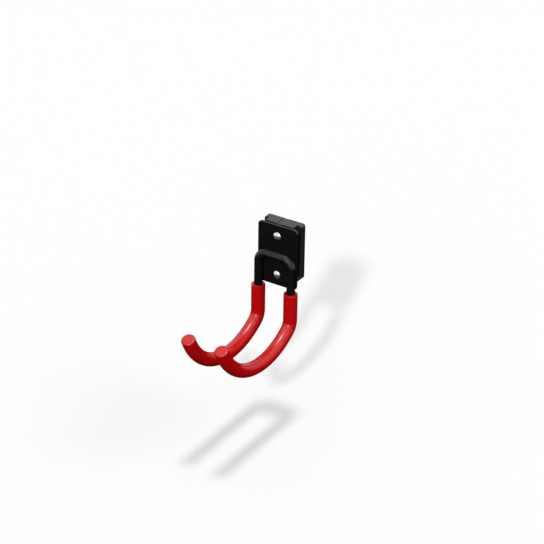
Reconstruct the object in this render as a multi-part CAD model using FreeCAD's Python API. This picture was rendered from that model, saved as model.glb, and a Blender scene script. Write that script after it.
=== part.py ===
import FreeCAD, Part
import math
import os

# Garage utility hook for a slotted wall rail, in millimetres.
# The origin is the centre of the slide block's back face, which lies against the wall.
# X runs across the hook, the hook reaches out along -Y, and Z is up.

# Slide block: a wide lip against the wall, a neck between the slots, and a floor that closes them
block_height = 65.0
neck_width = 36.0
neck_depth = 8.0
lip_width = 48.0
lip_thickness = 7.7
lip_top_corner_radius = 3.2
foot_corner_radius = 0.8
lip_edge_round = 0.6
slot_floor_height = 3.0
neck_edge_round = 0.5
top_groove_width = 6.0
top_groove_depth = 0.5

# Front plate: hangs a little below the block's top and well below its foot
plate_width = 50.0
plate_thickness = 3.0
plate_corner_radius = 4.5
plate_edge_round = 0.5
plate_below_block_top = 1.0
plate_below_block_foot = 9.0

# Rivets, each the same way in from its end of the plate
rivet_inset = 13.0
rivet_head_diameter = 9.5
rivet_head_height = 2.6
rivet_shank_diameter = 4.0
rivet_hole_clearance = 0.1
rivet_tail_diameter = 6.0
rivet_tail_height = 1.6
rivet_tail_round = 0.5
tail_recess_depth = 2.2
tail_recess_clearance = 0.25

# Hook rod: an inverted U welded to the plate, and an arm at the foot of each leg
rod_diameter = 9.5
rod_weld_depth = 0.3
leg_inset = 4.0
bar_below_block_middle = 3.5
bar_bend_radius = 10.5
knee_below_plate = 34.5
knee_radius = 14.0
knee_angle = 54.0
arm_radius = 85.0
arm_angle = 101.0
tip_straight = 5.2

# Grips: sleeves with a closed end
grip_wall = 3.05
grip_end_wall = 3.0
grip_below_plate = 2.5
grip_tip_round = 1.0
grip_mouth_round = 0.6

# Places that follow from the sizes above
block_top = block_height / 2
block_foot = -block_height / 2
neck_front = -(lip_thickness + neck_depth)
plate_front = neck_front - plate_thickness
plate_top = block_top - plate_below_block_top
plate_foot = block_foot - plate_below_block_foot
upper_rivet_z = plate_top - rivet_inset
lower_rivet_z = plate_foot + rivet_inset
rod_radius = rod_diameter / 2
rod_y = plate_front - rod_radius + rod_weld_depth
leg_x = plate_width / 2 - leg_inset
bar_z = (block_top + block_foot) / 2 - bar_below_block_middle
knee_z = plate_foot - knee_below_plate
grip_top = plate_foot - grip_below_plate
grip_radius = rod_radius + grip_wall
hole_radius = rivet_shank_diameter / 2 + rivet_hole_clearance

across = FreeCAD.Vector(1, 0, 0)
to_wall = FreeCAD.Vector(0, 1, 0)
up = FreeCAD.Vector(0, 0, 1)


def point(x, y, z):
    return FreeCAD.Vector(x, y, z)


def line(start, end):
    return Part.makeLine(start, end)


def arc(centre, start_direction, turn_direction, radius, degrees):
    """Arc edge that starts at centre + radius * start_direction and turns towards turn_direction."""
    def on_circle(angle):
        radians = math.radians(angle)
        return centre + start_direction * (radius * math.cos(radians)) \
            + turn_direction * (radius * math.sin(radians))
    return Part.Arc(on_circle(0), on_circle(degrees / 2), on_circle(degrees)).toShape()


def edges_where(shape, test):
    return [edge for edge in shape.Edges if test(edge)]


def runs_along(edge, direction):
    """True for a straight edge parallel to direction."""
    if not isinstance(edge.Curve, Part.Line):
        return False
    return abs(abs(edge.Curve.Direction.dot(direction)) - 1) < 1e-6


def level_with(edge, name, value):
    """True when the whole edge lies at one value of x, y or z."""
    return all(abs(getattr(vertex.Point, name) - value) < 1e-6 for vertex in edge.Vertexes)


def hole(z, radius, y_start, y_end):
    """Round cutter along Y at one rivet's height."""
    return Part.makeCylinder(radius, y_end - y_start, point(0, y_start, z), to_wall)


def corners_at(shape, z):
    """Edges that run towards the wall at height z."""
    return edges_where(shape, lambda edge: runs_along(edge, to_wall) and level_with(edge, "z", z))


def rounded_slab(width, front, back, foot, top, foot_radius, top_radius, edge_round):
    """Upright slab from front to back, with rounded corners and then rounded front and back rims."""
    slab = Part.makeBox(width, back - front, top - foot, point(-width / 2, front, foot))
    slab = slab.makeFillet(top_radius, corners_at(slab, top))
    slab = slab.makeFillet(foot_radius, corners_at(slab, foot))
    rims = edges_where(slab, lambda edge: level_with(edge, "y", front) or level_with(edge, "y", back))
    return slab.makeFillet(edge_round, rims)


def make_slide_block():
    """Lip, neck and slot floor in one, with a groove in the top and recessed rivet holes."""
    lip = rounded_slab(lip_width, -lip_thickness, 0, block_foot, block_top,
                       foot_corner_radius, lip_top_corner_radius, lip_edge_round)

    # The neck and the floor reach into the lip, past its rounded rim
    neck_back = -lip_thickness / 2
    depth = neck_back - neck_front
    neck = Part.makeBox(neck_width, depth, block_height, point(-neck_width / 2, neck_front, block_foot))
    neck = neck.makeFillet(neck_edge_round, corners_at(neck, block_top))
    slot_floor = Part.makeBox(lip_width, depth, slot_floor_height,
                              point(-lip_width / 2, neck_front, block_foot))
    slot_floor = slot_floor.makeFillet(foot_corner_radius, corners_at(slot_floor, block_foot))
    block = lip.fuse([neck, slot_floor]).removeSplitter()

    groove = Part.makeBox(top_groove_width, -neck_front, top_groove_depth,
                          point(-top_groove_width / 2, neck_front, block_top - top_groove_depth))
    block = block.cut(groove)

    recess_radius = rivet_tail_diameter / 2 + tail_recess_clearance
    for z in (upper_rivet_z, lower_rivet_z):
        block = block.cut(hole(z, hole_radius, neck_front, 0))
        block = block.cut(hole(z, recess_radius, -tail_recess_depth, 0))
    return block


def make_front_plate():
    """Flat plate with rounded corners and edges, drilled for both rivets."""
    plate = rounded_slab(plate_width, plate_front, neck_front, plate_foot, plate_top,
                         plate_corner_radius, plate_corner_radius, plate_edge_round)
    for z in (upper_rivet_z, lower_rivet_z):
        plate = plate.cut(hole(z, hole_radius, plate_front, neck_front))
    return plate


def make_rivet(z):
    """Domed head on the plate, shank through plate and block, and a tail formed in the recess."""
    head_radius = rivet_head_diameter / 2
    shank_radius = rivet_shank_diameter / 2
    tail_radius = rivet_tail_diameter / 2
    tail_seat = -tail_recess_depth
    tail_end = tail_seat + rivet_tail_height
    dome_radius = (head_radius ** 2 + rivet_head_height ** 2) / (2 * rivet_head_height)
    dome_centre = plate_front - rivet_head_height + dome_radius
    half_angle = math.asin(head_radius / dome_radius) / 2
    crown = point(0, plate_front - rivet_head_height, z)
    shoulder = point(dome_radius * math.sin(half_angle), dome_centre - dome_radius * math.cos(half_angle), z)
    rim = point(head_radius, plate_front, z)
    round_start = point(tail_radius, tail_end - rivet_tail_round, z)
    round_centre = point(tail_radius - rivet_tail_round, tail_end - rivet_tail_round, z)
    profile = Part.Wire([
        Part.Arc(crown, shoulder, rim).toShape(),
        line(rim, point(shank_radius, plate_front, z)),
        line(point(shank_radius, plate_front, z), point(shank_radius, tail_seat, z)),
        line(point(shank_radius, tail_seat, z), point(tail_radius, tail_seat, z)),
        line(point(tail_radius, tail_seat, z), round_start),
        arc(round_centre, across, to_wall, rivet_tail_round, 90),
        line(point(tail_radius - rivet_tail_round, tail_end, z), point(0, tail_end, z)),
        line(point(0, tail_end, z), crown),
    ])
    return Part.Face(profile).revolve(point(0, 0, z), to_wall, 360)


def arm_edges(x, end_trim):
    """Centreline of one arm from the knee to the tip, in the plane of its leg."""
    outward = -to_wall
    knee_start = point(x, rod_y, knee_z)
    knee_centre = knee_start + outward * knee_radius
    knee = arc(knee_centre, to_wall, -up, knee_radius, knee_angle)

    # The sweep starts where the knee ends, on the same radial line
    radians = math.radians(knee_angle)
    radial = to_wall * math.cos(radians) - up * math.sin(radians)
    heading = -to_wall * math.sin(radians) - up * math.cos(radians)
    sweep_centre = knee_centre + radial * (knee_radius - arm_radius)
    sweep = arc(sweep_centre, radial, heading, arm_radius, arm_angle)

    radians = math.radians(knee_angle + arm_angle)
    tip_direction = -to_wall * math.sin(radians) - up * math.cos(radians)
    tip_start = sweep_centre + (to_wall * math.cos(radians) - up * math.sin(radians)) * arm_radius
    tip_end = tip_start + tip_direction * (tip_straight - end_trim)
    return [knee, sweep, line(tip_start, tip_end)], tip_end, tip_direction


def rod_tube(edges, end, direction, radius):
    """Round bar of one radius along a chain of edges that ends at end, heading in direction."""
    section = Part.Face(Part.Wire(Part.makeCircle(radius, end, direction)))
    return Part.Wire(Part.__sortEdges__(edges)).makePipe(section)


def make_hook_rod(plate):
    """One bent rod: both arms, both legs and the cross bar, with its weld seat cut by the plate."""
    bend_z = bar_z - bar_bend_radius
    bend_x = leg_x - bar_bend_radius
    left_arm, left_end, left_direction = arm_edges(-leg_x, grip_end_wall)
    right_arm, right_end, right_direction = arm_edges(leg_x, grip_end_wall)
    cross = [
        line(point(-leg_x, rod_y, knee_z), point(-leg_x, rod_y, bend_z)),
        arc(point(-bend_x, rod_y, bend_z), -across, up, bar_bend_radius, 90),
        line(point(-bend_x, rod_y, bar_z), point(bend_x, rod_y, bar_z)),
        arc(point(bend_x, rod_y, bend_z), up, across, bar_bend_radius, 90),
        line(point(leg_x, rod_y, bend_z), point(leg_x, rod_y, knee_z)),
    ]
    rod = rod_tube(left_arm + cross + right_arm, left_end, left_direction, rod_radius)
    return rod.cut(plate)


def make_grip(x):
    """Sleeve over one arm, open at the top and closed at the tip."""
    mouth = point(x, rod_y, grip_top)
    straight = line(mouth, point(x, rod_y, knee_z))
    outer_edges, outer_end, direction = arm_edges(x, 0)
    inner_edges, inner_end, direction = arm_edges(x, grip_end_wall)
    sleeve = rod_tube([straight] + outer_edges, outer_end, direction, grip_radius)
    tip_rim = edges_where(sleeve, lambda edge: edge.CenterOfMass.distanceToPoint(outer_end) < rod_radius)
    mouth_rim = edges_where(sleeve, lambda edge: edge.CenterOfMass.distanceToPoint(mouth) < rod_radius)
    sleeve = sleeve.makeFillet(grip_tip_round, tip_rim)
    sleeve = sleeve.makeFillet(grip_mouth_round, mouth_rim)
    bore = rod_tube([straight] + inner_edges, inner_end, direction, rod_radius)
    return sleeve.cut(bore)


def main():
    os.makedirs("parts", exist_ok=True)
    plate = make_front_plate()
    nodes = {
        "slide_block": make_slide_block(),
        "front_plate": plate,
        "hook_rod": make_hook_rod(plate),
        "left_grip": make_grip(-leg_x),
        "right_grip": make_grip(leg_x),
        "upper_rivet": make_rivet(upper_rivet_z),
        "lower_rivet": make_rivet(lower_rivet_z),
    }
    for name, shape in nodes.items():
        shape.exportStep(os.path.join("parts", name + ".step"))
        box = shape.BoundBox
        print(name, shape.ShapeType, "solids", len(shape.Solids), "valid", shape.isValid(),
              "volume", round(shape.Volume, 1),
              "box", [round(v, 2) for v in (box.XMin, box.XMax, box.YMin, box.YMax, box.ZMin, box.ZMax)])


main()
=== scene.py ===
import math

import bmesh
import bpy
from mathutils import Matrix, Quaternion, Vector


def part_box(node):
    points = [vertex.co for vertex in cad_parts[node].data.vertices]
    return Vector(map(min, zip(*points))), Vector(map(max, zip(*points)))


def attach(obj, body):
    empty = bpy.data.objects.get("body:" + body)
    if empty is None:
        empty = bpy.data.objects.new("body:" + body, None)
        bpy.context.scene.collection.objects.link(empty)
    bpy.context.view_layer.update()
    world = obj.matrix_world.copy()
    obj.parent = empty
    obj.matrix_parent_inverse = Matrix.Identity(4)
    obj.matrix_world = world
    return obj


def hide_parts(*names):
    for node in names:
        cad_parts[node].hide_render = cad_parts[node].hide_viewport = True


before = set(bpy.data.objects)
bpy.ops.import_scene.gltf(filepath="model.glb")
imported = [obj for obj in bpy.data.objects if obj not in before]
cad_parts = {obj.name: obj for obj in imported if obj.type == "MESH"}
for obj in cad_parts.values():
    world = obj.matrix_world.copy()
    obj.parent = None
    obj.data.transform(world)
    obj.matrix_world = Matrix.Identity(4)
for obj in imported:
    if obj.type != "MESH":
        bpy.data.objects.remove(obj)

bl_info = {
    "name": "Garage Utility Hook",
    "version": (1, 0, 0),
    "blender": (4, 5, 0),
    "location": "3D View > Sidebar > Utility Hook",
    "description": "Makes a two-armed garage hook: slide block, plate, bent rod, vinyl grips "
                   "and rivets",
    "category": "Add Mesh",
}

MM = 0.001
BODY = "root"

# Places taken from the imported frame, in metres
PLATE_LOW, PLATE_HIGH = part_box("front_plate")
_, ROD_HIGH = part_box("hook_rod")
GRIP_LOW, GRIP_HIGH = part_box("right_grip")
RIVET_BOXES = [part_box(name) for name in ("upper_rivet", "lower_rivet")]
PLATE_FRONT = PLATE_LOW.y
PLATE_FOOT = PLATE_LOW.z

# The photograph's frame and the place of the plate's centre in it, in pixels
PHOTO_SIDE = 544
PHOTO_FOCAL = 1957.98
PLATE_CENTRE_PIXEL = (277.11, 255.50)

# How finely the turned and bent shapes are divided
ROD_STEPS_AROUND = 56
GRIP_STEPS_AROUND = 72
RIVET_STEPS_AROUND = 64
CROWN_STEPS = 20
ROUND_STEPS = 6
TIP_ROUND_STEPS = 8
MAX_TURN = math.radians(2.5)


def linear(hex_colour):
    """sRGB hex colour as linear red, green and blue."""
    channels = [int(hex_colour[i:i + 2], 16) / 255 for i in (1, 3, 5)]
    return tuple(c / 12.92 if c <= 0.04045 else ((c + 0.055) / 1.055) ** 2.4 for c in channels)


# Sizes and colours that a user would change

def length(name, description, millimetres):
    return bpy.props.FloatProperty(
        name=name, description=description, default=millimetres * MM, min=0, precision=5,
        subtype="DISTANCE", unit="LENGTH")


def angle(name, description, degrees):
    return bpy.props.FloatProperty(
        name=name, description=description, default=math.radians(degrees),
        subtype="ANGLE", unit="ROTATION")


def colour(name, description, hex_colour):
    return bpy.props.FloatVectorProperty(
        name=name, description=description, default=linear(hex_colour), size=3, min=0, max=1,
        subtype="COLOR")


class RodSizes(bpy.types.PropertyGroup):
    diameter: length("Diameter", "Diameter of the steel rod", 9.5)
    weld_depth: length("Weld depth", "How far the weld draws the rod into the plate", 0.3)
    bar_bend_radius: length(
        "Bar bend radius", "Centreline radius where the cross bar meets a leg", 10.5)
    knee_below_plate: length(
        "Knee below plate", "From the plate's foot down to the start of the knee", 34.5)
    knee_radius: length("Knee radius", "Centreline radius of the knee", 14)
    knee_angle: angle("Knee angle", "Turn of the knee", 54)
    arm_radius: length("Arm radius", "Centreline radius of the cradle", 85)
    arm_angle: angle("Arm angle", "Turn of the cradle", 101)
    tip_length: length("Tip length", "Straight end of each arm", 5.2)
    end_chamfer: length("End chamfer", "Chamfer on the rod's cut ends", 0.6)


class GripSizes(bpy.types.PropertyGroup):
    wall: length("Wall", "Thickness of the vinyl round the rod", 3.05)
    end_wall: length("End wall", "Thickness of the closed tip", 3)
    tip_round: length("Tip round", "Round at the rim of the tip", 1.7)
    mouth_round: length("Mouth round", "Round at the outer rim of the mouth", 0.35)
    mouth_flare: length("Mouth flare", "Round at the inner rim of the mouth", 0.25)


class RivetSizes(bpy.types.PropertyGroup):
    head_diameter: length("Head diameter", "Diameter of the domed head", 9.5)
    head_height: length("Head height", "Height of the dome over the plate", 2.6)
    rim_height: length("Rim height", "Height of the head's edge", 0.8)
    shank_diameter: length("Shank diameter", "Diameter of the shank", 4)
    tail_diameter: length("Tail diameter", "Diameter of the formed tail", 6)
    tail_height: length("Tail height", "Height of the formed tail", 1.6)
    tail_round: length("Tail round", "Round at the tail's rim", 0.5)


class Finishes(bpy.types.PropertyGroup):
    vinyl: colour("Vinyl", "Colour of the grips", "#BE0E0F")
    coat: colour("Powder coat", "Colour of the coated plate and rod", "#151414")
    block: colour("Moulded block", "Colour of the slide block", "#242424")
    rivet: colour("Rivet metal", "Colour of the rivets", "#E4E4E6")


class StageSizes(bpy.types.PropertyGroup):
    floor_below_grips: length(
        "Floor below grips", "Height at which the hook floats over the floor", 91.2)
    floor_side: length("Floor side", "Side of the square floor", 9000)
    camera_distance: length("Camera distance", "From the camera to the plate's front", 2126.2)
    camera_azimuth: angle(
        "Camera azimuth", "Turn of the camera round the hook, towards +X", 32.40)
    camera_elevation: angle(
        "Camera elevation", "Height of the camera over the horizon", 28.43)
    camera_roll: angle("Camera roll", "Tilt of the camera about its own axis", 0.861)


# Nodes

NODE_SPACING = 180
MERGE_DISTANCE = 0.002 * MM


def add_node(tree, kind, inputs=None, **settings):
    """Adds a node. Settings are its properties. An input is a value, a socket, or a node that feeds
    its first output."""
    node = tree.nodes.new(kind)
    node.location.x = NODE_SPACING * len(tree.nodes)
    for name, value in settings.items():
        setattr(node, name, value)
    for name, value in (inputs or {}).items():
        if isinstance(value, bpy.types.Node):
            value = next(output for output in value.outputs if output.enabled)
        if isinstance(value, bpy.types.NodeSocket):
            tree.links.new(value, node.inputs[name])
        else:
            node.inputs[name].default_value = value
    return node


def rings_of_section(tree, section, steps_around):
    """Grid with one row for each point of the section, and each vertex's distance, radius and
    turn."""
    rows = add_node(tree, "GeometryNodeAttributeDomainSize", {"Geometry": section},
                    component="MESH")
    columns = add_node(tree, "ShaderNodeMath", {0: steps_around, 1: 1}, operation="ADD")
    grid = add_node(tree, "GeometryNodeMeshGrid",
                    {"Vertices X": rows.outputs["Point Count"], "Vertices Y": columns})
    index = add_node(tree, "GeometryNodeInputIndex")
    rows_before = add_node(tree, "ShaderNodeMath", {0: index, 1: columns}, operation="DIVIDE")
    row = add_node(tree, "ShaderNodeMath", {0: rows_before}, operation="FLOOR")
    column = add_node(tree, "ShaderNodeMath", {0: index, 1: columns}, operation="MODULO")
    place = add_node(tree, "GeometryNodeInputPosition")
    sample = add_node(tree, "GeometryNodeSampleIndex",
                      {"Geometry": section, "Value": place, "Index": row},
                      data_type="FLOAT_VECTOR", domain="POINT")
    point = add_node(tree, "ShaderNodeSeparateXYZ", {"Vector": sample})
    share = add_node(tree, "ShaderNodeMath", {0: column, 1: steps_around}, operation="DIVIDE")
    turn = add_node(tree, "ShaderNodeMath", {0: share, 1: 2 * math.pi}, operation="MULTIPLY")
    return grid, point.outputs["X"], point.outputs["Y"], turn


def round_a_ring(tree, radius, turn):
    """Radius times the cosine of the turn, and times its sine."""
    legs = []
    for wave in ("COSINE", "SINE"):
        part = add_node(tree, "ShaderNodeMath", {0: turn}, operation=wave)
        legs.append(add_node(tree, "ShaderNodeMath", {0: radius, 1: part}, operation="MULTIPLY"))
    return legs


def new_tree(name, sizes):
    """Geometry tree with a geometry in and out, and a named input for each size."""
    tree = bpy.data.node_groups.new(name, "GeometryNodeTree")
    tree.interface.new_socket("Geometry", in_out="INPUT", socket_type="NodeSocketGeometry")
    for size, socket_type in sizes.items():
        tree.interface.new_socket(size, in_out="INPUT", socket_type=socket_type)
    tree.interface.new_socket("Geometry", in_out="OUTPUT", socket_type="NodeSocketGeometry")
    return tree, add_node(tree, "NodeGroupInput").outputs


def end_tree(tree, geometry, material):
    """Smooth shading, then the two nodes that every tree ends in."""
    smooth = add_node(tree, "GeometryNodeSetShadeSmooth", {"Geometry": geometry})
    real = add_node(tree, "GeometryNodeRealizeInstances", {"Geometry": smooth})
    coated = add_node(tree, "GeometryNodeSetMaterial", {"Geometry": real, "Material": material})
    add_node(tree, "NodeGroupOutput", {"Geometry": coated})
    return tree


def closed_shell(tree, grid, place):
    """The grid with its vertices put in place, and its seam and poles merged."""
    laid = add_node(tree, "GeometryNodeSetPosition", {"Geometry": grid, "Position": place})
    return add_node(tree, "GeometryNodeMergeByDistance",
                    {"Geometry": laid, "Distance": MERGE_DISTANCE})


def section_along_path_tree():
    """Turns a section round a bent path. The section's X is distance along it, and its Y radius."""
    tree, sizes = new_tree("Section Along Path", {
        "Path": "NodeSocketObject",
        "Steps Around": "NodeSocketInt",
        "Material": "NodeSocketMaterial",
    })
    grid, distance, radius, turn = rings_of_section(
        tree, sizes["Geometry"], sizes["Steps Around"])
    path = add_node(tree, "GeometryNodeObjectInfo", {"Object": sizes["Path"]})
    sample = add_node(tree, "GeometryNodeSampleCurve",
                      {"Curves": path.outputs["Geometry"], "Length": distance},
                      mode="LENGTH").outputs
    normal = sample["Normal"]
    side = add_node(tree, "ShaderNodeVectorMath", {0: sample["Tangent"], 1: normal},
                    operation="CROSS_PRODUCT")
    forward, sideways = round_a_ring(tree, radius, turn)
    first = add_node(tree, "ShaderNodeVectorMath", {0: normal, "Scale": forward},
                     operation="SCALE")
    second = add_node(tree, "ShaderNodeVectorMath", {0: side, "Scale": sideways},
                      operation="SCALE")
    offset = add_node(tree, "ShaderNodeVectorMath", {0: first, 1: second}, operation="ADD")
    place = add_node(tree, "ShaderNodeVectorMath", {0: sample["Position"], 1: offset},
                     operation="ADD")
    return end_tree(tree, closed_shell(tree, grid, place), sizes["Material"])


def rivet_row_tree():
    """Turns a rivet's half section about Y, and sets one on each point of an even row."""
    tree, sizes = new_tree("Rivet Row", {
        "First Rivet": "NodeSocketVector",
        "Pitch": "NodeSocketVector",
        "Rivets": "NodeSocketInt",
        "Steps Around": "NodeSocketInt",
        "Material": "NodeSocketMaterial",
    })
    grid, height, radius, turn = rings_of_section(tree, sizes["Geometry"], sizes["Steps Around"])
    across, upward = round_a_ring(tree, radius, turn)
    place = add_node(tree, "ShaderNodeCombineXYZ", {"X": across, "Y": height, "Z": upward})
    row = add_node(tree, "GeometryNodeMeshLine", {
        "Count": sizes["Rivets"],
        "Start Location": sizes["First Rivet"],
        "Offset": sizes["Pitch"],
    })
    placed = add_node(tree, "GeometryNodeInstanceOnPoints",
                      {"Points": row, "Instance": closed_shell(tree, grid, place)})
    return end_tree(tree, placed, sizes["Material"])


# Meshes

def link(data, name):
    made = bpy.data.objects.new(name, data)
    bpy.context.scene.collection.objects.link(made)
    return made


def section_object(name, section):
    """Open chain of vertices along a section, which a tree turns."""
    mesh = bpy.data.meshes.new(name)
    edges = [(i, i + 1) for i in range(len(section) - 1)]
    mesh.from_pydata([(x, y, 0) for x, y in section], edges, [])
    return link(mesh, name)


def path_object(name, points):
    """Open curve through the points of a path."""
    curve = bpy.data.curves.new(name, "CURVE")
    curve.dimensions = "3D"
    spline = curve.splines.new("POLY")
    spline.points.add(len(points) - 1)
    for spline_point, place in zip(spline.points, points):
        spline_point.co = (*place, 1)
    return link(curve, name)


def set_inputs(modifier, values):
    """Sets a Geometry Nodes modifier's inputs by their sockets' identifiers."""
    for item in modifier.node_group.interface.items_tree:
        if item.item_type == "SOCKET" and item.in_out == "INPUT" and item.name in values:
            modifier[item.identifier] = values[item.name]


def made_by_tree(name, section, tree, values):
    """Runs a tree on a section. Returns an object with a plain mesh, whose faces point outwards."""
    holder = section_object(name + "_section", section)
    modifier = holder.modifiers.new("Geometry Nodes", "NODES")
    modifier.node_group = tree
    set_inputs(modifier, values)
    graph = bpy.context.evaluated_depsgraph_get()
    mesh = bpy.data.meshes.new_from_object(holder.evaluated_get(graph), depsgraph=graph)
    holder.modifiers.remove(modifier)
    bpy.data.objects.remove(holder)
    mesh.name = name
    face_outwards(mesh)
    return link(mesh, name)


def face_outwards(mesh):
    shell = bmesh.new()
    shell.from_mesh(mesh)
    bmesh.ops.recalc_face_normals(shell, faces=shell.faces)
    shell.to_mesh(mesh)
    shell.free()


def add_piece(piece, slot, *nodes):
    """Puts a finished piece on the body and hides the CAD nodes that it stands for. Its slot is not
    used.
    """
    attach(piece, BODY)
    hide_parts(*nodes)


def finish_node(node, material):
    """Gives a CAD node that keeps its own shape its material."""
    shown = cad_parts[node]
    shown.data.materials.clear()
    shown.data.materials.append(material)


# Bent path of the rod, as a pipe bender's list of runs and bends

def run(run_length):
    return run_length, 0.0, Vector((1, 0, 0))


def bend(radius, turn, axis):
    return radius * turn, turn, Vector(axis)


def walk(start, heading, moves):
    """Points along a path that goes through these runs and bends."""
    place, heading = Vector(start), Vector(heading)
    points = [place.copy()]
    for move_length, turn, axis in moves:
        steps = max(1, math.ceil(turn / MAX_TURN))
        half_turn = Quaternion(axis, turn / steps / 2)
        if turn:
            step_length = 2 * (move_length / turn) * math.sin(turn / steps / 2)
        else:
            step_length = move_length
        for _ in range(steps):
            heading = half_turn @ heading
            place = place + heading * step_length
            heading = half_turn @ heading
            points.append(place.copy())
    return points


def distances_along(points):
    total = [0.0]
    for before, after in zip(points, points[1:]):
        total.append(total[-1] + (after - before).length)
    return total


def rod_line_y(rod):
    return PLATE_FRONT - rod.diameter / 2 + rod.weld_depth


def leg_x(rod):
    return ROD_HIGH.x - rod.diameter / 2


def arm_moves(rod, tip_trim):
    """Knee, cradle and tip of one arm, turning from straight down to the front and up."""
    forwards = (-1, 0, 0)
    return [
        bend(rod.knee_radius, rod.knee_angle, forwards),
        bend(rod.arm_radius, rod.arm_angle, forwards),
        run(rod.tip_length - tip_trim),
    ]


def rod_path(rod, tip_trim):
    """Whole rod, from the left tip over the cross bar to the right tip."""
    bar_z = ROD_HIGH.z - rod.diameter / 2
    bend_start = leg_x(rod) - rod.bar_bend_radius
    leg_length = bar_z - rod.bar_bend_radius - (PLATE_FOOT - rod.knee_below_plate)
    right_half = walk((0, rod_line_y(rod), bar_z), (1, 0, 0), [
        run(bend_start),
        bend(rod.bar_bend_radius, math.pi / 2, (0, 1, 0)),
        run(leg_length),
        *arm_moves(rod, tip_trim),
    ])
    left_half = [Vector((-p.x, p.y, p.z)) for p in reversed(right_half[1:])]
    return left_half + right_half


def grip_path(rod, side):
    """One grip's centreline, from its mouth down to its tip."""
    mouth_z = GRIP_HIGH.z
    straight = mouth_z - (PLATE_FOOT - rod.knee_below_plate)
    return walk((side * leg_x(rod), rod_line_y(rod), mouth_z), (0, 0, -1),
                [run(straight), *arm_moves(rod, 0)])


# Sections that are turned round a path or an axis

def quarter_round(centre, radius, start_degrees, end_degrees, steps=ROUND_STEPS):
    """Points of an arc in a section, from one angle to another."""
    turn = end_degrees - start_degrees
    angles = [math.radians(start_degrees + turn * i / steps) for i in range(steps + 1)]
    return [(centre[0] + radius * math.cos(a), centre[1] + radius * math.sin(a)) for a in angles]


def bar_section(distances, radius, chamfer):
    """Solid round bar with chamfered ends, with a ring at each of its path's points."""
    end = distances[-1]
    middle = [(d, radius) for d in distances if chamfer < d < end - chamfer]
    return [(0, 0), (0, radius - chamfer), (chamfer, radius), *middle,
            (end - chamfer, radius), (end, radius - chamfer), (end, 0)]


def sleeve_section(distances, bore, grip):
    """Sleeve from the middle of its closed tip, up the outside, over the mouth, down the bore."""
    end = distances[-1]
    outer = bore + grip.wall
    tip_start = end - grip.tip_round
    tip = quarter_round((tip_start, outer - grip.tip_round), grip.tip_round, 0, 90,
                        TIP_ROUND_STEPS)
    outside = [(d, outer) for d in reversed(distances) if grip.mouth_round < d < tip_start]
    rim = quarter_round((grip.mouth_round, outer - grip.mouth_round), grip.mouth_round, 90, 180)
    lip = quarter_round((grip.mouth_flare, bore + grip.mouth_flare), grip.mouth_flare, 180, 270)
    bore_end = end - grip.end_wall
    inside = [(d, bore) for d in distances if grip.mouth_flare < d < bore_end]
    return [(end, 0), *tip, *outside, *rim, *lip, *inside, (bore_end, bore), (bore_end, 0)]


def rivet_section(rivet, tail_seat):
    """Half section from the head's crown to the middle of the tail, as height along Y and
    radius."""
    head, shank, tail = rivet.head_diameter / 2, rivet.shank_diameter / 2, rivet.tail_diameter / 2
    rise = rivet.head_height - rivet.rim_height
    dome = (head ** 2 + rise ** 2) / (2 * rise)
    half_angle = math.asin(head / dome)
    centre = -rivet.head_height + dome
    angles = [half_angle * i / CROWN_STEPS for i in range(CROWN_STEPS + 1)]
    crown = [(centre - dome * math.cos(a), dome * math.sin(a)) for a in angles]
    tail_end = tail_seat + rivet.tail_height
    rim = quarter_round((tail_end - rivet.tail_round, tail - rivet.tail_round),
                        rivet.tail_round, 90, 0)
    return [*crown, (0, head), (0, shank), (tail_seat, shank), (tail_seat, tail), *rim,
            (tail_end, 0)]


# Materials

# Colours of rubbed places, of the rivets' painted dark reflection, and of the floor
RUBBED_COAT = "#383736"
RUBBED_NYLON = "#3C3C3C"
# Painted dark reflection on the lower half of each rivet head
PAINTED_DARK_REFLECTION = "#5E5253"
FLOOR_SEEN = "#EEEEEE"
FLOOR_BOUNCED = "#5E5E5E"

# Specular level of each glossy finish
ROD_GLOSS = 0.34
PLATE_GLOSS = 0.5
NYLON_GLOSS = 0.65
VINYL_GLOSS = 0.63

# How far up a face has to mirror for its gloss to begin, and for it to be full
COAT_HORIZON = (0.05, 0.18)
NYLON_HORIZON = (0.14, 0.36)
VINYL_HORIZON = (0.15, 0.62)

# How far up a rivet's face turns where its painted reflection begins to brighten, and where it is
# fully bright
PAINTED_REFLECTION_HORIZON = (0.08, 0.22)

# Width of the rubbed edges, and how well the rounded normal matches the flat one on a face
# and at an edge
RUBBED_WIDTH = 0.35 * MM
FACE_TO_EDGE = (0.99, 0.9)

# Noise gathers round 0.5. These ranges of it run a pattern from end to end, for clear patches and
# for gentle changes.
CLEAR = (0.35, 0.65)
GENTLE = (0.3, 0.7)

# Sockets of a Mix node that mixes colours
FACTOR, COLOUR_A, COLOUR_B = 0, 6, 7


def per_metre(size_mm):
    """Texture scale at which one cell of the pattern has this size."""
    return 1 / (size_mm * MM)


def opaque(rgb):
    """Colour with the alpha that a node's socket needs."""
    return (*rgb, 1)


def shades(rgb, dark, light):
    """The two ends of a colour's variation, as the inputs of a Mix node."""
    return {COLOUR_A: opaque(dark * channel for channel in rgb),
            COLOUR_B: opaque(light * channel for channel in rgb)}


def spread(source, from_range, to_range=(0, 1)):
    """Inputs of a Map Range node, which moves a value from one range to another and holds it at
    the ends."""
    return {"Value": source, "From Min": from_range[0], "From Max": from_range[1],
            "To Min": to_range[0], "To Max": to_range[1]}


def new_material(name):
    """Empty material and its tree."""
    material = bpy.data.materials.new(name)
    material.use_nodes = True
    tree = material.node_tree
    tree.nodes.clear()
    return material, tree


def finish(tree, inputs):
    """The shader with its values and patterns, on the material's surface."""
    shader = add_node(tree, "ShaderNodeBsdfPrincipled", inputs)
    add_node(tree, "ShaderNodeOutputMaterial", {"Surface": shader})


def turned_up(tree):
    """How far a face is turned up: 1 on top, 0 on a side and -1 underneath."""
    normal = add_node(tree, "ShaderNodeTexCoord").outputs["Normal"]
    return add_node(tree, "ShaderNodeSeparateXYZ", {"Vector": normal}).outputs["Z"]


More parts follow.
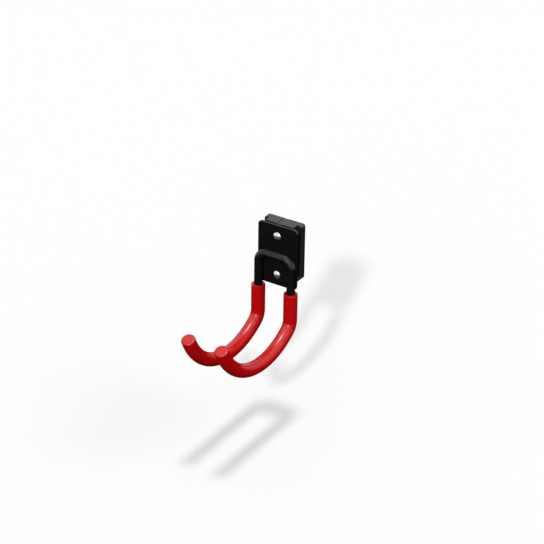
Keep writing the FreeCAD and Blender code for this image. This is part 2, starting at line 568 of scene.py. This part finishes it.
def gloss_from_above(tree, level, horizon):
    """Specular level of a surface that mirrors the light above it, and no floor or backdrop. It
    falls to nothing on faces that look level or down, and at every outline."""
    outline = add_node(tree, "ShaderNodeLayerWeight").outputs["Facing"]
    inside = add_node(tree, "ShaderNodeMath", {0: 1, 1: outline}, operation="SUBTRACT")
    mirrored = add_node(tree, "ShaderNodeMath", {0: turned_up(tree), 1: inside},
                        operation="MULTIPLY")
    return add_node(tree, "ShaderNodeMapRange", spread(mirrored, horizon, (0, level)))


def rubbed_edges(tree, patches):
    """1 along the edges that handling rubs pale, broken up by a pattern, and 0 on faces."""
    smooth = add_node(tree, "ShaderNodeBevel", {"Radius": RUBBED_WIDTH}, samples=4)
    flat = add_node(tree, "ShaderNodeNewGeometry").outputs["Normal"]
    match = add_node(tree, "ShaderNodeVectorMath", {0: smooth, 1: flat},
                     operation="DOT_PRODUCT").outputs["Value"]
    edge = add_node(tree, "ShaderNodeMapRange", spread(match, FACE_TO_EDGE))
    broken = add_node(tree, "ShaderNodeMapRange", spread(patches, (0.4, 0.6), (0.2, 0.8)))
    return add_node(tree, "ShaderNodeMath", {0: edge, 1: broken}, operation="MULTIPLY")


def powder_coat(rgb, gloss):
    """Black polyester powder coat, sprayed and baked: satin, with a fine orange peel, and rubbed
    pale along its edges."""
    material, tree = new_material("black_powder_coat")
    place = add_node(tree, "ShaderNodeTexCoord").outputs["Object"]
    peel = add_node(tree, "ShaderNodeTexNoise",
                    {"Vector": place, "Scale": per_metre(0.9), "Detail": 2})
    cloud = add_node(tree, "ShaderNodeTexNoise",
                     {"Vector": place, "Scale": per_metre(14), "Detail": 3})
    amount = add_node(tree, "ShaderNodeMapRange", spread(peel, CLEAR))
    coat = add_node(tree, "ShaderNodeMix", {FACTOR: amount, **shades(rgb, dark=0.75, light=1.3)},
                    data_type="RGBA")
    worn_coat = add_node(tree, "ShaderNodeMix", {
        FACTOR: rubbed_edges(tree, peel), COLOUR_A: coat, COLOUR_B: opaque(linear(RUBBED_COAT)),
    }, data_type="RGBA")
    finish(tree, {
        "Base Color": worn_coat,
        "Roughness": add_node(tree, "ShaderNodeMapRange", spread(cloud, GENTLE, (0.36, 0.44))),
        "Normal": add_node(tree, "ShaderNodeBump",
                           {"Height": peel, "Distance": 0.02 * MM, "Strength": 0.5}),
        "Specular IOR Level": gloss_from_above(tree, gloss, COAT_HORIZON),
    })
    return material


def moulded_block(rgb):
    """Injection-moulded black nylon, matt from the spark-eroded faces of its mould, with pale rubs
    along Z from sliding in its rail. Grain and rubs are drawn coarser than real ones, so that they
    show."""
    material, tree = new_material("moulded_black_nylon")
    place = add_node(tree, "ShaderNodeTexCoord").outputs["Object"]
    grain = add_node(tree, "ShaderNodeTexNoise",
                     {"Vector": place, "Scale": per_metre(0.5), "Detail": 3, "Roughness": 0.6})
    flow = add_node(tree, "ShaderNodeTexNoise",
                    {"Vector": place, "Scale": per_metre(18), "Detail": 2})
    amount = add_node(tree, "ShaderNodeMapRange", spread(grain, CLEAR))
    nylon = add_node(tree, "ShaderNodeMix", {FACTOR: amount, **shades(rgb, dark=0.75, light=1.3)},
                     data_type="RGBA")
    drawn_out = add_node(tree, "ShaderNodeMapping", {"Vector": place, "Scale": (1, 1, 0.03)})
    streaks = add_node(tree, "ShaderNodeTexNoise",
                       {"Vector": drawn_out, "Scale": per_metre(1.6), "Detail": 4})
    slid = add_node(tree, "ShaderNodeMapRange", spread(streaks, (0.52, 0.72), (0, 0.45)))
    rubbed = add_node(tree, "ShaderNodeMath", {0: rubbed_edges(tree, grain), 1: slid},
                      operation="MAXIMUM")
    worn_nylon = add_node(tree, "ShaderNodeMix", {
        FACTOR: rubbed, COLOUR_A: nylon, COLOUR_B: opaque(linear(RUBBED_NYLON)),
    }, data_type="RGBA")
    finish(tree, {
        "Base Color": worn_nylon,
        "Roughness": add_node(tree, "ShaderNodeMapRange", spread(flow, GENTLE, (0.48, 0.56))),
        "Normal": add_node(tree, "ShaderNodeBump",
                           {"Height": grain, "Distance": 0.015 * MM, "Strength": 0.5}),
        "Specular IOR Level": gloss_from_above(tree, NYLON_GLOSS, NYLON_HORIZON),
    })
    return material


def red_vinyl(rgb):
    """Soft red PVC drawn over the rod: smooth and glossy, a little uneven along its length. Its
    grain is drawn coarser than a real one, so that it shows."""
    material, tree = new_material("red_soft_vinyl")
    place = add_node(tree, "ShaderNodeTexCoord").outputs["Object"]
    waves = add_node(tree, "ShaderNodeTexNoise",
                     {"Vector": place, "Scale": per_metre(7), "Detail": 2})
    grain = add_node(tree, "ShaderNodeTexNoise",
                     {"Vector": place, "Scale": per_metre(0.6), "Detail": 2})
    amount = add_node(tree, "ShaderNodeMapRange", spread(waves, CLEAR))
    swell = add_node(tree, "ShaderNodeBump",
                     {"Height": waves, "Distance": 0.01 * MM, "Strength": 0.3})
    finish(tree, {
        "Base Color": add_node(tree, "ShaderNodeMix",
                               {FACTOR: amount, **shades(rgb, dark=0.94, light=1.06)},
                               data_type="RGBA"),
        "Roughness": add_node(tree, "ShaderNodeMapRange", spread(waves, GENTLE, (0.25, 0.28))),
        "Normal": add_node(tree, "ShaderNodeBump", {
            "Height": grain, "Distance": 0.002 * MM, "Strength": 0.3, "Normal": swell}),
        "Specular IOR Level": gloss_from_above(tree, VINYL_GLOSS, VINYL_HORIZON),
    })
    return material


def rivet_metal(rgb):
    """Bright zinc-plated steel, set by a die that leaves it nearly polished. The lower half of each
    head has a painted dark reflection.
    Its scuffs are drawn coarser than real ones, so that they show."""
    material, tree = new_material("bright_zinc_plated_steel")
    place = add_node(tree, "ShaderNodeTexCoord").outputs["Object"]
    scuff = add_node(tree, "ShaderNodeTexNoise",
                     {"Vector": place, "Scale": per_metre(0.8), "Detail": 3})
    plated = add_node(tree, "ShaderNodeMix", {FACTOR: scuff, **shades(rgb, dark=0.92, light=1.04)},
                      data_type="RGBA")
    # Painted reflection: the lower half of each head is coloured dark and reddish, as if it
    # mirrored dark ground and the red arms
    painted_dark_half = add_node(tree, "ShaderNodeMix",
                      {FACTOR: scuff, **shades(linear(PAINTED_DARK_REFLECTION), dark=0.9, light=1.1)},
                      data_type="RGBA")
    # Mask of the painted reflection: bright colour on faces that turn up, dark colour on faces that
    # turn down
    painted_lit_mask = add_node(tree, "ShaderNodeMapRange", spread(turned_up(tree), PAINTED_REFLECTION_HORIZON))
    finish(tree, {
        "Base Color": add_node(tree, "ShaderNodeMix",
                               {FACTOR: painted_lit_mask, COLOUR_A: painted_dark_half, COLOUR_B: plated},
                               data_type="RGBA"),
        "Roughness": add_node(tree, "ShaderNodeMapRange", spread(scuff, GENTLE, (0.15, 0.21))),
        "Metallic": 1,
    })
    return material


def seen_directly(tree):
    """1 for rays that see a surface straight, in a mirror or through glass, and 0 for bounced
    light."""
    path = add_node(tree, "ShaderNodeLightPath").outputs
    direct = add_node(tree, "ShaderNodeMath",
                      {0: path["Is Camera Ray"], 1: path["Is Glossy Ray"]}, operation="MAXIMUM")
    return add_node(tree, "ShaderNodeMath", {0: direct, 1: path["Is Transmission Ray"]},
                    operation="MAXIMUM")


def pale_floor():
    """Matt white studio floor, which gives the hook's underside little light."""
    material, tree = new_material("matt_white_floor")
    finish(tree, {
        "Base Color": add_node(tree, "ShaderNodeMix", {
            FACTOR: seen_directly(tree),
            COLOUR_A: opaque(linear(FLOOR_BOUNCED)),
            COLOUR_B: opaque(linear(FLOOR_SEEN)),
        }, data_type="RGBA"),
        "Roughness": 0.9,
        "Specular IOR Level": 0,
    })
    return material


# Stage

# Studio lamps: azimuth round the hook from -Y towards +X, height over the horizon, strength and
# width, with angles in degrees. A white surface that faces a lamp of strength 1 renders white.
# In reflections the world stands for the softboxes, the lamps of SOFTBOX_WIDTH and more.
WORLD_LIGHT = 0.43
SOFTBOX_WIDTH = 20
LAMPS = {
    "overhead_lamp": (197, 88.6, 0.33, 8.5),
    "front_softbox": (10, 25, 0.15, 60),
    "front_lamp": (17.7, 33.1, 0.4, 4.3),
    "side_lamp": (110, 40, 0.19, 27),
}


def make_floor(stage):
    half = stage.floor_side / 2
    z = GRIP_LOW.z - stage.floor_below_grips
    corners = [(-half, -half, z), (half, -half, z), (half, half, z), (-half, half, z)]
    mesh = bpy.data.meshes.new("floor")
    mesh.from_pydata(corners, [], [(0, 1, 2, 3)])
    mesh.materials.append(pale_floor())
    link(mesh, "floor")


def direction(turn, tilt):
    """Direction away from the hook, turned from -Y towards +X and tilted up from the horizon."""
    return Vector((math.sin(turn) * math.cos(tilt), -math.cos(turn) * math.cos(tilt),
                   math.sin(tilt)))


def add_lamp(name, azimuth, height, strength, width):
    """Lamp far off, whose light is parallel, and whose width softens its shadows."""
    lamp = bpy.data.lights.new(name, "SUN")
    lamp.energy = strength * math.pi
    lamp.angle = math.radians(width)
    placed = link(lamp, name)
    placed.visible_glossy = width < SOFTBOX_WIDTH
    away = direction(math.radians(azimuth), math.radians(height))
    placed.rotation_euler = away.to_track_quat("Z", "Y").to_euler()


def make_camera(stage):
    """Camera that puts the plate's centre on its pixel of the photograph."""
    turn, tilt, roll = stage.camera_azimuth, stage.camera_elevation, stage.camera_roll
    forward = -direction(turn, tilt)
    level_right = Vector((math.cos(turn), math.sin(turn), 0))
    level_up = level_right.cross(forward)
    right = level_right * math.cos(roll) + level_up * math.sin(roll)
    upwards = level_up * math.cos(roll) - level_right * math.sin(roll)
    plate_centre = Vector((0, PLATE_FRONT, (PLATE_LOW.z + PLATE_HIGH.z) / 2))
    metres_per_pixel = stage.camera_distance / PHOTO_FOCAL
    pixels_right = PLATE_CENTRE_PIXEL[0] - PHOTO_SIDE / 2
    pixels_down = PLATE_CENTRE_PIXEL[1] - PHOTO_SIDE / 2
    place = plate_centre - forward * stage.camera_distance \
        - right * pixels_right * metres_per_pixel + upwards * pixels_down * metres_per_pixel
    lens = bpy.data.cameras.new("camera")
    lens.lens = PHOTO_FOCAL * lens.sensor_width / PHOTO_SIDE
    camera = link(lens, "camera")
    turned = Matrix((right, upwards, -forward)).transposed().to_4x4()
    camera.matrix_world = Matrix.Translation(place) @ turned
    bpy.context.scene.camera = camera


def make_world():
    """Even studio light, which the camera and reflections see as white."""
    world = bpy.data.worlds.new("studio")
    world.use_nodes = True
    tree = world.node_tree
    tree.nodes.clear()
    strength = add_node(tree, "ShaderNodeMapRange",
                        spread(seen_directly(tree), (0, 1), (WORLD_LIGHT, 1)))
    light = add_node(tree, "ShaderNodeBackground",
                     {"Color": opaque((1, 1, 1)), "Strength": strength})
    add_node(tree, "ShaderNodeOutputWorld", {"Surface": light})
    bpy.context.scene.world = world


# Operators

class MakeRod(bpy.types.Operator):
    """Bend the coated steel rod, from the left tip over the cross bar to the right tip"""
    bl_idname = "utility_hook.make_rod"
    bl_label = "Bent Rod"

    def execute(self, context):
        scene = context.scene
        rod = scene.hook_rod
        points = rod_path(rod, scene.hook_grips.end_wall)
        path = path_object("rod_path", points)
        section = bar_section(distances_along(points), rod.diameter / 2, rod.end_chamfer)
        piece = made_by_tree("bent_steel_rod", section, section_along_path_tree(), {
            "Path": path,
            "Steps Around": ROD_STEPS_AROUND,
            "Material": powder_coat(scene.hook_finishes.coat, ROD_GLOSS),
        })
        bpy.data.objects.remove(path)
        add_piece(piece, "coated_rod", "hook_rod")
        return {"FINISHED"}


class MakeGrips(bpy.types.Operator):
    """Draw a closed vinyl sleeve over each arm"""
    bl_idname = "utility_hook.make_grips"
    bl_label = "Vinyl Grips"

    def execute(self, context):
        scene = context.scene
        rod, grip = scene.hook_rod, scene.hook_grips
        vinyl = red_vinyl(scene.hook_finishes.vinyl)
        tree = section_along_path_tree()
        for side, name in ((-1, "left"), (1, "right")):
            points = grip_path(rod, side)
            path = path_object(name + "_path", points)
            section = sleeve_section(distances_along(points), rod.diameter / 2, grip)
            piece = made_by_tree(name + "_vinyl_sleeve", section, tree, {
                "Path": path, "Steps Around": GRIP_STEPS_AROUND, "Material": vinyl})
            bpy.data.objects.remove(path)
            add_piece(piece, "red_vinyl", name + "_grip")
        return {"FINISHED"}


class MakeRivets(bpy.types.Operator):
    """Set the domed rivets through the plate and the block"""
    bl_idname = "utility_hook.make_rivets"
    bl_label = "Rivets"

    def execute(self, context):
        scene = context.scene
        rivet = scene.hook_rivets
        tail_seat = RIVET_BOXES[0][1].y - rivet.tail_height - PLATE_FRONT
        places = [Vector((0, PLATE_FRONT, (low.z + high.z) / 2)) for low, high in RIVET_BOXES]
        piece = made_by_tree("domed_rivets", rivet_section(rivet, tail_seat), rivet_row_tree(), {
            "First Rivet": places[0],
            "Pitch": places[1] - places[0],
            "Rivets": len(places),
            "Steps Around": RIVET_STEPS_AROUND,
            "Material": rivet_metal(scene.hook_finishes.rivet),
        })
        add_piece(piece, "polished_rivet", "upper_rivet", "lower_rivet")
        return {"FINISHED"}


class FinishPlate(bpy.types.Operator):
    """Coat the front plate, which keeps its CAD shape"""
    bl_idname = "utility_hook.finish_plate"
    bl_label = "Front Plate"

    def execute(self, context):
        coat = powder_coat(context.scene.hook_finishes.coat, PLATE_GLOSS)
        finish_node("front_plate", coat)
        return {"FINISHED"}


class FinishBlock(bpy.types.Operator):
    """Finish the slide block, which keeps its CAD shape"""
    bl_idname = "utility_hook.finish_block"
    bl_label = "Slide Block"

    def execute(self, context):
        nylon = moulded_block(context.scene.hook_finishes.block)
        finish_node("slide_block", nylon)
        return {"FINISHED"}


class MakeStage(bpy.types.Operator):
    """Make the pale floor, the soft studio light and the camera at the photograph's angle"""
    bl_idname = "utility_hook.make_stage"
    bl_label = "Stage"

    def execute(self, context):
        stage = context.scene.hook_stage
        make_floor(stage)
        make_world()
        for name, lamp in LAMPS.items():
            add_lamp(name, *lamp)
        make_camera(stage)
        context.scene.view_settings.view_transform = "Standard"
        return {"FINISHED"}


PIECES = (MakeRod, MakeGrips, MakeRivets, FinishPlate, FinishBlock, MakeStage)
SETTINGS = {
    "hook_rod": RodSizes,
    "hook_grips": GripSizes,
    "hook_rivets": RivetSizes,
    "hook_finishes": Finishes,
    "hook_stage": StageSizes,
}


class UtilityHookPanel(bpy.types.Panel):
    """Sizes, colours and pieces of the utility hook"""
    bl_idname = "VIEW3D_PT_utility_hook"
    bl_label = "Garage Utility Hook"
    bl_space_type = "VIEW_3D"
    bl_region_type = "UI"
    bl_category = "Utility Hook"

    def draw(self, context):
        for group in SETTINGS:
            box = self.layout.box()
            settings = getattr(context.scene, group)
            for name in settings.__annotations__:
                box.prop(settings, name)
        for piece in PIECES:
            self.layout.operator(piece.bl_idname)


CLASSES = (*SETTINGS.values(), *PIECES, UtilityHookPanel)


def register():
    for made in CLASSES:
        bpy.utils.register_class(made)
    for name, group in SETTINGS.items():
        setattr(bpy.types.Scene, name, bpy.props.PointerProperty(type=group))


def unregister():
    for name in SETTINGS:
        delattr(bpy.types.Scene, name)
    for made in reversed(CLASSES):
        bpy.utils.unregister_class(made)


def main():
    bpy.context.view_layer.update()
    register()
    bpy.ops.utility_hook.make_rod()
    bpy.ops.utility_hook.make_grips()
    bpy.ops.utility_hook.make_rivets()
    bpy.ops.utility_hook.finish_plate()
    bpy.ops.utility_hook.finish_block()
    bpy.ops.utility_hook.make_stage()


if __name__ == "__main__":
    main()
